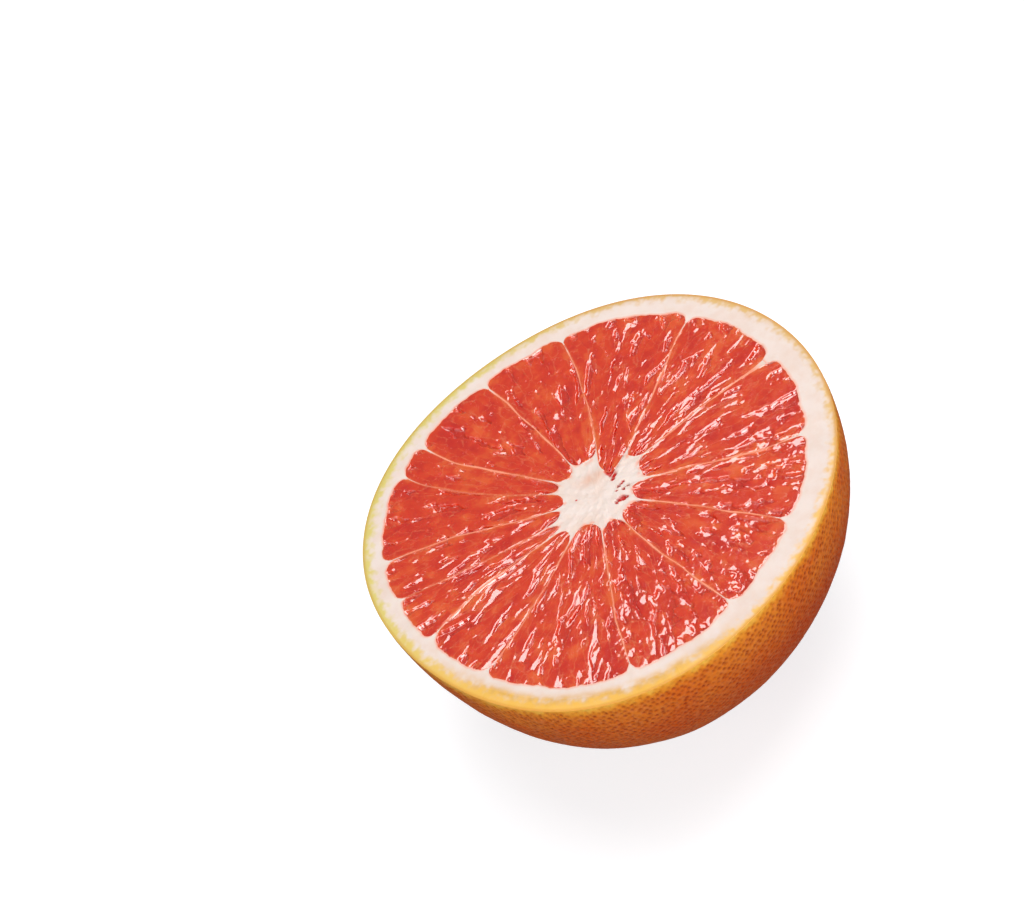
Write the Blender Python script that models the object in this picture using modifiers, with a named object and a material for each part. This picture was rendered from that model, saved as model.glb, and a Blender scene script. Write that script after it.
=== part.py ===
"""Half of a red grapefruit, cut across its middle and resting cut face up on its blossom end.

The origin is the middle of the small flat spot that the half stands on. +Z points up, out of the
cut face. The half is one solid: rind, pith, membranes and pulp grew as one piece. The fourteen
segments of pulp are shallow wells in the cut face, with the membranes standing between them.
"""

import math

import bmesh
import bpy

# ---- Driving dimensions, in metres and degrees -------------------------------------------------
NAME = "half_grapefruit"
FACE_RADIUS = 0.050        # mean radius of the cut face, at the fruit's equator
CUT_HEIGHT = 0.0475        # height of the cut face above the surface that the half stands on
FOOT_RADIUS = 0.0065       # flat spot at the blossom end
RIM_ROUND = 0.0004         # the knife leaves the rind's edge very slightly rounded

THREE_LOBES = (0.0199, 21.2)     # (share of the radius, azimuth of one crest)
FOUR_LOBES = (0.0088, -31.7)

RIND_AND_PITH = 0.0053     # from the skin in to the pulp, on the average
THICK_SIDE = 309.0         # azimuth where rind and pith are thickest
THICK_SHIFT = 0.0010       # how far the pulp stands off centre, away from that side

PULP_DEPTH = 0.0008        # wells of pulp below the knife's plane
MEMBRANE = 0.0009          # thickness of a membrane between two wells
CORE_RADIUS = 0.0105       # pithy core at the middle
WELL_CORNER = 0.0010       # rounding of a well's corners

# Azimuth of each membrane at the core, half way out, and at the pith.
MEMBRANES = (
    (12, 10, 9),
    (31, 38, 39),
    (66, 71, 76),
    (97, 98, 100),
    (120, 125, 123),
    (137, 138, 133),
    (164, 159, 160),
    (181, 176, 173),
    (195, 189, 192),
    (213, 215, 212),
    (250, 252, 254),
    (280, 282, 284),
    (313, 312, 311),
    (343, 338, 339),
)

SECTORS = 96               # facets around the fruit
SIDE_STEPS = 20            # facets from the rim to the flat spot
RIM_STEPS = 2
WALL_STEPS = 4             # straight runs along a membrane
ARC_STEPS = 6              # straight runs along a well's outer end


def outline_factor(azimuth):
    """Radius of the fruit at an azimuth in radians, as a share of its mean radius."""
    factor = 1.0
    for lobes, (share, crest) in ((3, THREE_LOBES), (4, FOUR_LOBES)):
        factor += share * math.cos(lobes * (azimuth - math.radians(crest)))
    return factor


def pulp_radius(azimuth):
    """Distance from the axis to the pulp's outer end at an azimuth in radians."""
    wall = RIND_AND_PITH + THICK_SHIFT * math.cos(azimuth - math.radians(THICK_SIDE))
    return FACE_RADIUS * outline_factor(azimuth) - wall


def membrane_azimuth(membrane, reach):
    """Azimuth in radians of a membrane, with reach running from 0 at the core to 1 at the pith."""
    core, middle, pith = membrane
    bend = 4 * middle - 3 * core - pith
    curve = 2 * (core + pith - 2 * middle)
    return math.radians(core + bend * reach + curve * reach ** 2)


def side_profile():
    """Points of the turned profile, from the middle of the cut face down to the flat spot."""
    depth = CUT_HEIGHT / math.sqrt(1 - (FOOT_RADIUS / FACE_RADIUS) ** 2)
    points = [(0.0, CUT_HEIGHT)]
    for step in range(RIM_STEPS):
        turn = math.pi / 2 * step / RIM_STEPS
        points.append((FACE_RADIUS - RIM_ROUND + RIM_ROUND * math.sin(turn),
                       CUT_HEIGHT - RIM_ROUND + RIM_ROUND * math.cos(turn)))
    start = math.asin(RIM_ROUND / depth)
    end = math.acos(FOOT_RADIUS / FACE_RADIUS)
    for step in range(SIDE_STEPS + 1):
        dip = start + (end - start) * step / SIDE_STEPS
        points.append((FACE_RADIUS * math.cos(dip), CUT_HEIGHT - depth * math.sin(dip)))
    points.append((0.0, 0.0))
    return points


def make_material(name, colour, roughness):
    """Plain Principled material."""
    material = bpy.data.materials.new(name)
    material.use_nodes = True
    shader = material.node_tree.nodes["Principled BSDF"]
    shader.inputs["Base Color"].default_value = (*colour, 1.0)
    shader.inputs["Roughness"].default_value = roughness
    shader.inputs["Metallic"].default_value = 0.0
    return material


def evaluated_mesh(source):
    """Mesh of an object with its modifiers applied, as a new mesh."""
    graph = bpy.context.evaluated_depsgraph_get()
    return bpy.data.meshes.new_from_object(source.evaluated_get(graph))


def make_turned_half(collection):
    """The half as a turned solid, before the wells are cut."""
    profile = bpy.data.meshes.new("profile")
    points = side_profile()
    edges = [(i, i + 1) for i in range(len(points) - 1)]
    profile.from_pydata([(radius, 0.0, height) for radius, height in points], edges, [])
    turned = bpy.data.objects.new("turned", profile)
    collection.objects.link(turned)
    screw = turned.modifiers.new("turn", "SCREW")
    screw.axis = "Z"
    screw.steps = SECTORS
    screw.render_steps = SECTORS
    screw.use_merge_vertices = True
    screw.merge_threshold = 0.00001
    mesh = evaluated_mesh(turned)
    bpy.data.objects.remove(turned)
    return mesh


def shape_lobes(mesh):
    """Gives the turned mesh the fruit's gentle lobes, without changing its heights."""
    for vertex in mesh.vertices:
        factor = outline_factor(math.atan2(vertex.co.y, vertex.co.x))
        vertex.co.x *= factor
        vertex.co.y *= factor


def well_outline(first, second):
    """Corner points of the well between two membranes, anticlockwise from its inner right corner."""
    half = MEMBRANE / 2
    points = []
    for membrane, side in ((first, 1), (second, -1)):
        wall = []
        for step in range(WALL_STEPS + 1):
            reach = step / WALL_STEPS
            azimuth = membrane_azimuth(membrane, reach)
            radius = CORE_RADIUS + (pulp_radius(azimuth) - CORE_RADIUS) * reach
            aside = side * half
            wall.append((radius * math.cos(azimuth) - aside * math.sin(azimuth),
                         radius * math.sin(azimuth) + aside * math.cos(azimuth)))
        points.append(wall)
    right, left = points
    start = math.atan2(right[-1][1], right[-1][0])
    end = math.atan2(left[-1][1], left[-1][0])
    sweep = (end - start) % (2 * math.pi)
    arc = []
    for step in range(1, ARC_STEPS):
        azimuth = start + sweep * step / ARC_STEPS
        radius = pulp_radius(azimuth)
        arc.append((radius * math.cos(azimuth), radius * math.sin(azimuth)))
    return right + arc + left[::-1]


def make_well_cutter(name, outline, collection):
    """Upright cutter with the well's outline, rounded at its four corners."""
    curve = bpy.data.curves.new(name, "CURVE")
    curve.dimensions = "2D"
    curve.fill_mode = "BOTH"
    curve.extrude = PULP_DEPTH
    spline = curve.splines.new("POLY")
    spline.points.add(len(outline) - 1)
    for point, (x, y) in zip(spline.points, outline):
        point.co = (x, y, 0.0, 1.0)
    spline.use_cyclic_u = True
    drawn = bpy.data.objects.new(name, curve)
    collection.objects.link(drawn)
    mesh = evaluated_mesh(drawn)
    bpy.data.objects.remove(drawn)

    well = bmesh.new()
    well.from_mesh(mesh)
    bmesh.ops.remove_doubles(well, verts=well.verts, dist=0.00001)
    bmesh.ops.translate(well, verts=well.verts, vec=(0.0, 0.0, CUT_HEIGHT))
    bmesh.ops.recalc_face_normals(well, faces=well.faces)
    corners = [edge for edge in well.edges if is_well_corner(edge)]
    bmesh.ops.bevel(well, geom=corners, offset=WELL_CORNER, segments=2, profile=0.5, affect="EDGES")
    for face in well.faces:
        face.material_index = 2
    well.to_mesh(mesh)
    well.free()

    cutter = bpy.data.objects.new(name, mesh)
    cutter.hide_render = True
    cutter.display_type = "WIRE"
    collection.objects.link(cutter)


def is_well_corner(edge):
    """Whether an edge is upright and turns by more than 40 degrees, as a well's corners do."""
    upright = abs(edge.verts[0].co.z - edge.verts[1].co.z) > PULP_DEPTH
    return upright and edge.calc_face_angle(0.0) > math.radians(40)


def build():
    """Builds the half grapefruit and the cutters of its wells."""
    for old in list(bpy.data.objects):
        bpy.data.objects.remove(old)
    fruit = bpy.data.collections.new(NAME)
    cutters = bpy.data.collections.new("well_cutters")
    bpy.context.scene.collection.children.link(fruit)
    bpy.context.scene.collection.children.link(cutters)

    mesh = make_turned_half(fruit)
    shape_lobes(mesh)
    mesh.materials.clear()
    mesh.materials.append(make_material("rind", (0.80, 0.33, 0.06), 0.42))
    mesh.materials.append(make_material("pith", (0.90, 0.80, 0.68), 0.60))
    mesh.materials.append(make_material("pulp", (0.68, 0.07, 0.03), 0.25))
    for face in mesh.polygons:
        face.material_index = 1 if face.center.z > CUT_HEIGHT - RIM_ROUND / 10 else 0
    mesh.shade_smooth()
    mesh.set_sharp_from_angle(angle=math.radians(30))
    half = bpy.data.objects.new(NAME, mesh)
    fruit.objects.link(half)

    for index, first in enumerate(MEMBRANES):
        second = MEMBRANES[(index + 1) % len(MEMBRANES)]
        make_well_cutter(f"well_{index + 1:02d}", well_outline(first, second), cutters)
    wells = half.modifiers.new("wells", "BOOLEAN")
    wells.operation = "DIFFERENCE"
    wells.solver = "EXACT"
    wells.operand_type = "COLLECTION"
    wells.collection = cutters


build()
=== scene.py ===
"""Looks for half of a red grapefruit: pored rind, spongy pith, and fourteen segments of wet juice sacs."""

import logging
import math
from dataclasses import dataclass
from enum import Enum
from itertools import product
from typing import Iterable, Sequence

import bpy
import numpy as np
from mathutils import Matrix, Vector
from mathutils.kdtree import KDTree

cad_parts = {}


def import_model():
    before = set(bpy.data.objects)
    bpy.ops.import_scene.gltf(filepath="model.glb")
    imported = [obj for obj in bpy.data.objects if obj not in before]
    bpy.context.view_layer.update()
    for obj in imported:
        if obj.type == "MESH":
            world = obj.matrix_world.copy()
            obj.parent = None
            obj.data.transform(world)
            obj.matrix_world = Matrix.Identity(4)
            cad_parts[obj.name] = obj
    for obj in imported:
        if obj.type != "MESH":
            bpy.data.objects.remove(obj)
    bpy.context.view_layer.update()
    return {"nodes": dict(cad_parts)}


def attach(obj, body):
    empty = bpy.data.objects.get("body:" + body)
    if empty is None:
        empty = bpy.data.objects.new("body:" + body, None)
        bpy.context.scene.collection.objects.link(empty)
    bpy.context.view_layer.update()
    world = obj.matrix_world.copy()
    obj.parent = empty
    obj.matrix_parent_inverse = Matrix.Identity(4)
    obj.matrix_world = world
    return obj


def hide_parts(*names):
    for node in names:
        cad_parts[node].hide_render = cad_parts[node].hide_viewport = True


LOG = logging.getLogger("grapefruit")
NODE = "half_grapefruit"
BODY = "root"
MM = 0.001
TURN = 2 * math.pi
# Where a slab's wall and base lie in its bake coordinates.
BAKE_WALL = (0.96, 0.94)
BAKE_BASE = (0.01, 0.968)
BAKE_BASE_SIDE = 0.03

Array = np.ndarray
Colour = tuple[float, float, float]
Socket = bpy.types.NodeSocket


# ---- Small tools ------------------------------------------------------------------------------


def srgb(red: int, green: int, blue: int) -> Colour:
    """Linear colour of an 8-bit display colour."""
    shares = [level / 255 for level in (red, green, blue)]
    return tuple(((v + 0.055) / 1.055) ** 2.4 if v > 0.04 else v / 12.92 for v in shares)


def smooth_step(low: float, high: float, value: Array) -> Array:
    """Smooth rise from 0 at low to 1 at high."""
    share = np.clip((value - low) / (high - low), 0.0, 1.0)
    return share * share * (3 - 2 * share)


class LatticeNoise:
    """Smooth value noise in space, the same on every run."""

    SIZE = 256

    def __init__(self, seed: int) -> None:
        """Fills the lattice from a seed."""
        rng = np.random.default_rng(seed)
        self.order = rng.permutation(self.SIZE)
        self.values = rng.uniform(-1.0, 1.0, self.SIZE)

    def at(self, points: Array, cell: float) -> Array:
        """Noise from -1 to 1.

        Args:
            points: Places, one row of x, y, z each, in metres.
            cell: Distance between the lattice's points, in metres.

        Returns:
            One value for each place.
        """
        scaled = points / cell
        base = np.floor(scaled).astype(np.int64)
        part = scaled - base
        part = part * part * (3 - 2 * part)
        total = np.zeros(len(points))
        for corner in product((0, 1), repeat=3):
            weight, slot = 1.0, 0
            for axis, step in enumerate(corner):
                weight = weight * (part[:, axis] if step else 1 - part[:, axis])
                slot = self.order[(slot + base[:, axis] + step) % self.SIZE]
            total += weight * self.values[slot]
        return total

    def layered(self, points: Array, cell: float, layers: int) -> Array:
        """Noise with finer and weaker layers on top of the first.

        Args:
            points: Places, one row each.
            cell: The first layer's lattice distance, in metres.
            layers: How many layers.

        Returns:
            One value for each place.
        """
        total = np.zeros(len(points))
        for layer in range(layers):
            total += self.at(points + 7.3 * MM * layer, cell / 2 ** layer) / 2 ** layer
        return total


def flat_points(x: Array, y: Array) -> Array:
    """Rows of x, y, 0."""
    return np.column_stack((x, y, np.zeros(len(x))))


def grid_quads(rows: int, columns: int, closed: bool = False) -> Array:
    """Quads of a grid of vertices stored row by row.

    Args:
        rows: Rows of vertices.
        columns: Vertices in a row.
        closed: Whether the last column joins the first.

    Returns:
        Vertex indices, four in each row, turning from the next column back to a row.
    """
    across = np.arange(columns if closed else columns - 1)
    nxt = (across + 1) % columns
    low = np.arange(rows - 1)[:, None] * columns
    high = low + columns
    return np.stack((high + across, high + nxt, low + nxt, low + across), axis=-1).reshape(-1, 4)


def grid_border(rows: int, columns: int) -> Array:
    """Vertices around the edge of a grid.

    Args:
        rows: Rows of the grid.
        columns: Vertices in a row.

    Returns:
        Their indices, anticlockwise seen from above.
    """
    index = np.arange(rows * columns).reshape(rows, columns)
    return np.concatenate((index[:-1, 0], index[-1, :-1], index[:0:-1, -1], index[0, :0:-1]))


def wall_corners(count: int, top: float, base: float) -> Array:
    """Bake coordinates of a closed wall of quads: top, base, next base, next top.

    Args:
        count: How many quads.
        top: Coordinate across the wall at its top.
        base: The same at its base.

    Returns:
        Four corners along and across the wall for each quad.
    """
    start, end = np.arange(count) / count, (np.arange(count) + 1) / count
    tops, bases = np.full(count, top), np.full(count, base)
    corners = ((start, tops), (start, bases), (end, bases), (end, tops))
    return np.stack([np.stack(corner, axis=-1) for corner in corners], axis=1)


class SolidMesh:
    """Vertices, faces, face finishes, bake coordinates and attributes of one closed piece."""

    def __init__(self, name: str) -> None:
        """Starts an empty mesh."""
        self.name = name
        self.points: list[Array] = []
        self.faces: list[list[int]] = []
        self.finishes: list[int] = []
        self.bake: list[Array] = []
        self.count = 0

    def add_points(self, points: Array) -> int:
        """Adds vertices.

        Args:
            points: Their places, one row each.

        Returns:
            Index of the first.
        """
        first = self.count
        self.points.append(points)
        self.count += len(points)
        return first

    def add_faces(self, faces: Array, bake: Array, finish: int = 0) -> None:
        """Adds faces.

        Args:
            faces: Vertex indices, one row for each face.
            bake: Bake coordinates of each face's corners, in order.
            finish: Index of the faces' material.
        """
        self.faces.extend(faces.tolist())
        self.finishes.extend([finish] * len(faces))
        self.bake.append(bake.reshape(-1, 2))

    def close_slab(self, loop: Array, base: Array) -> None:
        """Closes a slab with a wall down from its top's edge, and a flat base.

        Args:
            loop: Vertices around the top, anticlockwise seen from above.
            base: Places of the base's corners, in the same order.
        """
        count = len(loop)
        low = self.add_points(base) + np.arange(count)
        walls = np.stack((loop, low, np.roll(low, -1), np.roll(loop, -1)), axis=-1)
        self.add_faces(walls, wall_corners(count, *BAKE_WALL))
        patch = base[:, :2] - base[:, :2].min(axis=0)
        patch = patch / patch.max() * BAKE_BASE_SIDE + np.array(BAKE_BASE)
        self.add_faces(low[None, ::-1], patch[::-1])

    def build(self, materials: Sequence[bpy.types.Material], attributes: dict[str, Array],
              crease: float = 180.0) -> bpy.types.Object:
        """Makes the object.

        Args:
            materials: Finishes, in the order of the faces' indices.
            attributes: One number for each vertex, by name.
            crease: Angle in degrees beyond which an edge looks sharp.

        Returns:
            The new object, linked to the scene.
        """
        mesh = bpy.data.meshes.new(self.name)
        mesh.from_pydata(np.concatenate(self.points).tolist(), [], self.faces)
        mesh.polygons.foreach_set("material_index", np.array(self.finishes, dtype=np.int32))
        layer = mesh.uv_layers.new(name="OFBake")
        layer.data.foreach_set("uv", np.concatenate(self.bake).astype(np.float32).ravel())
        for label, values in attributes.items():
            padded = np.zeros(self.count, dtype=np.float32)
            padded[:len(values)] = values
            mesh.attributes.new(label, "FLOAT", "POINT").data.foreach_set("value", padded)
        for material in materials:
            mesh.materials.append(material)
        mesh.polygons.foreach_set("use_smooth", np.ones(len(self.faces), dtype=bool))
        mesh.set_sharp_from_angle(angle=math.radians(crease))
        mesh.update()
        piece = bpy.data.objects.new(self.name, mesh)
        bpy.context.scene.collection.objects.link(piece)
        return piece


# ---- The fruit's form -------------------------------------------------------------------------


@dataclass(frozen=True)
class Membrane:
    """A membrane between two segments, in degrees of azimuth at the core, half way out and at the pith."""

    core: float
    middle: float
    pith: float
    width: float = 0.28 * MM
    faint: float = 0.0
    root: float = 0.0

    def azimuth(self, reach: Array) -> Array:
        """Azimuth in radians.

        Args:
            reach: From 0 at the core to 1 at the pith.

        Returns:
            One azimuth for each reach.
        """
        bend = 4 * self.middle - 3 * self.core - self.pith
        curve = 2 * (self.core + self.pith - 2 * self.middle)
        wander = 0.35 * np.sin(9.0 * reach + self.core) + 0.2 * np.sin(23.0 * reach + self.pith)
        return np.radians(self.core + bend * reach + curve * reach ** 2 + wander * np.sin(np.pi * reach))

    def half_width(self, reach: Array) -> Array:
        """Half of the uneven thickness, which grows at the core and at the membrane's root.

        Args:
            reach: From 0 at the core to 1 at the pith.

        Returns:
            Half thicknesses in metres.
        """
        uneven = 0.85 + 0.25 * np.sin(14.0 * reach + self.core) + 0.15 * np.sin(37.0 * reach + self.pith)
        ends = 0.16 * MM * np.clip(1 - reach / 0.14, 0, 1) ** 2
        root = self.root * smooth_step(0.80, 1.0, reach)
        return 0.5 * self.width * uneven + ends + 0.5 * root


class Pulp(Enum):
    """How the knife left a segment's juice sacs."""

    SLICED = "most sacs cut through, smooth and flat"
    MIXED = "some sacs cut, some whole"
    WHOLE = "most sacs whole, long and rounded"
    LUMPY = "whole sacs, short and crowded towards the pith"


MEMBRANES = (
    Membrane(15.0, 11.0, 8.5, width=0.30 * MM, root=1.3 * MM),
    Membrane(31.0, 38.0, 39.0, width=0.26 * MM),
    Membrane(66.0, 71.0, 76.0, width=0.24 * MM, faint=0.15),
    Membrane(97.0, 98.0, 100.0, width=0.30 * MM),
    Membrane(120.0, 125.5, 123.0, width=0.32 * MM),
    Membrane(137.0, 138.0, 132.5, width=0.18 * MM, faint=0.75),
    Membrane(163.0, 158.5, 160.0, width=0.26 * MM, faint=0.2),
    Membrane(181.0, 176.5, 173.5, width=0.20 * MM, faint=0.6),
    Membrane(195.0, 188.5, 191.5, width=0.36 * MM),
    Membrane(213.0, 215.5, 212.5, width=0.22 * MM, faint=0.35),
    Membrane(250.0, 251.5, 254.0, width=0.24 * MM, faint=0.15),
    Membrane(279.0, 281.5, 284.0, width=0.30 * MM),
    Membrane(313.0, 312.0, 311.0, width=0.28 * MM),
    Membrane(344.0, 338.0, 339.0, width=0.30 * MM, root=0.5 * MM),
)

# Azimuths in degrees where the rind's cut edge is warmest and most golden.
WARM_SIDE = 345.0
GOLD_SIDE = 262.0

# Distance from the axis to each segment's tip, in millimetres.
TIPS = (10.5, 5.8, 9.8, 9.0, 9.6, 7.4, 8.4, 10.0, 9.8, 7.0, 7.6, 7.6, 7.2, 9.8)

# x, y, radius and depth of the red pits beside the core, in millimetres.
CORE_PITS = (
    (4.8, 3.9, 1.25, 0.35), (4.5, 2.8, 0.9, 0.45), (4.1, 1.7, 0.5, 0.45),
    (3.9, -4.0, 0.8, 0.70), (3.1, -4.0, 0.6, 0.60), (2.3, -4.3, 0.4, 0.45), (4.7, -4.3, 0.4, 0.50),
    (5.6, -0.3, 0.42, 0.50), (5.1, -0.6, 0.34, 0.40), (4.3, -0.9, 0.42, 0.50), (6.1, -2.0, 0.42, 0.50),
    (4.9, -2.1, 0.36, 0.45), (3.5, -1.6, 0.28, 0.35), (-4.2, 2.1, 0.25, 0.10),
)

PULP_KINDS = (
    Pulp.WHOLE, Pulp.MIXED, Pulp.SLICED, Pulp.SLICED, Pulp.SLICED, Pulp.SLICED, Pulp.MIXED,
    Pulp.WHOLE, Pulp.WHOLE, Pulp.WHOLE, Pulp.LUMPY, Pulp.LUMPY, Pulp.LUMPY, Pulp.MIXED,
)


@dataclass(frozen=True)
class FruitForm:
    """The half's overall shape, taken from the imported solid."""

    radius: float
    height: float
    foot: float = 6.5 * MM
    three_lobes: tuple[float, float] = (0.0199, 21.2)
    four_lobes: tuple[float, float] = (0.0088, -31.7)
    wall: float = 5.3 * MM
    wall_shift: float = 1.0 * MM
    thick_side: float = 309.0
    core: float = 7.0 * MM
    lip: float = 0.3 * MM

    @classmethod
    def from_node(cls, node: bpy.types.Object) -> "FruitForm":
        """Reads the radius and the height of the cut face from the solid's rim.

        Args:
            node: The solid.

        Returns:
            The form.
        """
        points = np.array([vertex.co for vertex in node.data.vertices])
        height = float(points[:, 2].max())
        reach = np.hypot(points[:, 0], points[:, 1])
        azimuth = np.arctan2(points[:, 1], points[:, 0])
        rim = cls(1.0, 1.0).outline(azimuth)
        return cls(radius=float((reach / rim).max()), height=height)

    @property
    def depth(self) -> float:
        """Vertical half axis of the whole fruit's rounded end."""
        return self.height / math.sqrt(1 - (self.foot / self.radius) ** 2)

    def outline(self, azimuth: Array) -> Array:
        """Radius of the cut face's edge.

        Args:
            azimuth: Directions in radians.

        Returns:
            Radii in metres.
        """
        factor = np.ones_like(azimuth)
        for lobes, (share, crest) in ((3, self.three_lobes), (4, self.four_lobes)):
            factor = factor + share * np.cos(lobes * (azimuth - math.radians(crest)))
        return self.radius * factor

    def pulp_edge(self, azimuth: Array) -> Array:
        """Distance from the axis to the pith's inner edge, before the segments' own lobes."""
        wall = self.wall + self.wall_shift * np.cos(azimuth - math.radians(self.thick_side))
        return self.outline(azimuth) - wall

    def reach(self, membrane: Membrane, radius: Array) -> Array:
        """How far along a membrane a distance from the axis lies, from 0 at the core to 1 at the pith."""
        edge = self.pulp_edge(np.radians(np.array([membrane.pith])))[0]
        return np.clip((radius - self.core) / (edge - self.core), 0.0, 1.0)


@dataclass(frozen=True)
class SegmentPlan:
    """Plan of one segment of pulp between two membranes, seen from above."""

    form: FruitForm
    index: int
    first: Membrane
    second: Membrane
    kind: Pulp
    tip: float
    outer_round: float = 2.8 * MM
    lobe: float = 0.20 * MM

    @property
    def name(self) -> str:
        """Name of the segment's piece."""
        return f"pulp_segment_{self.index + 1:02d}"

    def sides(self, radius: Array) -> tuple[Array, Array]:
        """Azimuths in radians of the two membranes' middles.

        Args:
            radius: Distances from the axis.

        Returns:
            The first and the second membrane's azimuths.
        """
        start = self.first.azimuth(self.form.reach(self.first, radius))
        end = self.second.azimuth(self.form.reach(self.second, radius))
        return start, np.where(end < start, end + TURN, end)

    def halves(self, radius: Array) -> tuple[Array, Array]:
        """Half thicknesses of the two membranes, at distances from the axis."""
        first = self.first.half_width(self.form.reach(self.first, radius))
        return first, self.second.half_width(self.form.reach(self.second, radius))

    def ends(self, across: Array) -> tuple[Array, Array]:
        """Inner and outer radius of the segment.

        Args:
            across: From 0 at the first membrane to 1 at the second.

        Returns:
            Distances from the axis to the inner and to the outer end.
        """
        start_in, end_in = self.sides(np.full_like(across, self.tip))
        start_out, end_out = self.sides(np.full_like(across, self.form.radius))
        azimuth = start_out + (end_out - start_out) * across
        edge = self.form.pulp_edge(azimuth)
        width = edge * (end_out - start_out)
        beside = np.minimum(across, 1 - across)
        away = np.clip(1 - beside * width / self.outer_round, 0.0, 1.0)
        notch = 0.75 * self.outer_round * (1 - np.sqrt(np.clip(1 - away ** 2, 0.0, 1.0)))
        phase = 2.1 * self.index
        lobes = np.sin(azimuth * 17 + phase) + 0.7 * np.sin(azimuth * 31 + 2 * phase)
        lobes = lobes + 0.4 * np.sin(azimuth * 67) + 0.3 * np.sin(azimuth * 149 + phase)
        outer = edge - notch + self.lobe * lobes * np.clip(beside * 9, 0, 1)
        core_width = self.tip * (end_in - start_in)
        lean = 0.5 + 0.22 * math.sin(1.7 + 2.6 * self.index)
        side = np.where(across < lean, across / lean, (1 - across) / (1 - lean))
        near = np.clip(1 - side * 0.5 * core_width / np.minimum(1.9 * MM, 0.5 * core_width), 0.0, 1.0)
        inner = self.tip + 2.3 * MM * (1 - np.sqrt(np.clip(1 - near ** 2, 0.0, 1.0)))
        return inner, outer

    def place(self, share: Array, across: Array, clear: float = 0.0) -> tuple[Array, Array]:
        """Places in the cut face.

        Args:
            share: From 0 at the segment's inner end to 1 at its outer end.
            across: From 0 at the first membrane to 1 at the second.
            clear: Extra room left beside each membrane, negative to run under it.

        Returns:
            x and y in metres.
        """
        inner, outer = self.ends(across)
        radius = inner + (outer - inner) * share
        start, end = self.sides(radius)
        first, second = self.halves(radius)
        start = start + (first + clear) / radius
        end = end - (second + clear) / radius
        azimuth = start + (end - start) * across
        return radius * np.cos(azimuth), radius * np.sin(azimuth)


def plan_segments(form: FruitForm) -> list[SegmentPlan]:
    """Plans all segments, anticlockwise from the first membrane.

    Args:
        form: The half's form.

    Returns:
        The plans.
    """
    plans = []
    for index, (first, kind, tip) in enumerate(zip(MEMBRANES, PULP_KINDS, TIPS)):
        second = MEMBRANES[(index + 1) % len(MEMBRANES)]
        plans.append(SegmentPlan(form, index, first, second, kind, tip * MM))
    return plans


# ---- Finishes ---------------------------------------------------------------------------------


class Nodes:
    """Builds a material's nodes."""

    def __init__(self, name: str) -> None:
        """Starts a material with its Principled shader."""
        self.material = bpy.data.materials.new(name)
        self.material.use_nodes = True
        self.tree = self.material.node_tree
        self.shader = self.tree.nodes["Principled BSDF"]

    def join(self, source: Socket, target: Socket) -> None:
        """Links two sockets."""
        self.tree.links.new(source, target)

    def feed(self, value: object, target: Socket) -> None:
        """Links a socket or sets a constant.

        Args:
            value: Socket, number or colour.
            target: The input that takes it.
        """
        if isinstance(value, Socket):
            self.join(value, target)
        elif isinstance(value, tuple) and len(target.default_value) > len(value):
            target.default_value = (*value, 1.0)
        else:
            target.default_value = value

    def node(self, kind: str, inputs: dict[str | int, object], **fields: object) -> bpy.types.Node:
        """Adds a node.

        Args:
            kind: The node's type.
            inputs: Sockets and constants for its inputs, by name or number.
            fields: Its other settings.

        Returns:
            The node.
        """
        node = self.tree.nodes.new(kind)
        for label, value in fields.items():
            setattr(node, label, value)
        for label, value in inputs.items():
            self.feed(value, node.inputs[label])
        return node

    def attribute(self, label: str) -> Socket:
        """A number stored on the vertices."""
        return self.node("ShaderNodeAttribute", {}, attribute_name=label).outputs["Fac"]

    def place(self) -> Socket:
        """Place in the piece's own space, in metres."""
        return self.node("ShaderNodeTexCoord", {}).outputs["Object"]

    def noise(self, cell: float, detail: float = 3.0) -> Socket:
        """Noise from about 0 to 1, with features of a size in metres and a number of finer layers."""
        inputs = {"Vector": self.place(), "Scale": 1 / cell, "Detail": detail, "Roughness": 0.55}
        return self.node("ShaderNodeTexNoise", inputs).outputs["Fac"]

    def math(self, operation: str, first: object, second: object = 0.0) -> Socket:
        """One step of arithmetic."""
        return self.node("ShaderNodeMath", {0: first, 1: second}, operation=operation).outputs[0]

    def ease(self, value: object, low: float, high: float, start: float = 0.0, end: float = 1.0) -> Socket:
        """Smooth change from start to end as a value goes from low to high."""
        inputs = {"Value": value, "From Min": low, "From Max": high, "To Min": start, "To Max": end}
        return self.node("ShaderNodeMapRange", inputs, interpolation_type="SMOOTHSTEP").outputs["Result"]

    def mix(self, share: object, first: object, second: object, blend: str = "MIX") -> Socket:
        """Mix of two colours."""
        inputs = {0: share, 6: first, 7: second}
        return self.node("ShaderNodeMix", inputs, data_type="RGBA", blend_type=blend).outputs[2]

    def stain(self, body: object, **colours: Colour) -> Socket:
        """Colour with others laid over it, each by the attribute it is named after.

        Args:
            body: The colour underneath.
            colours: The colours laid over it, in order.

        Returns:
            The result.
        """
        for label, colour in colours.items():
            body = self.mix(self.attribute(label), body, colour)
        return body

    def bump(self, height: object, distance: float, strength: float) -> None:
        """Gives the shader a bump of a given depth in metres."""
        node = self.node("ShaderNodeBump", {"Strength": strength, "Distance": distance, "Height": height})
        self.join(node.outputs["Normal"], self.shader.inputs["Normal"])

    def settings(self, **values: object) -> None:
        """Sets or links the shader's inputs, with underscores for the spaces in their names."""
        for label, value in values.items():
            self.feed(value, self.shader.inputs[label.replace("_", " ")])


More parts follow.
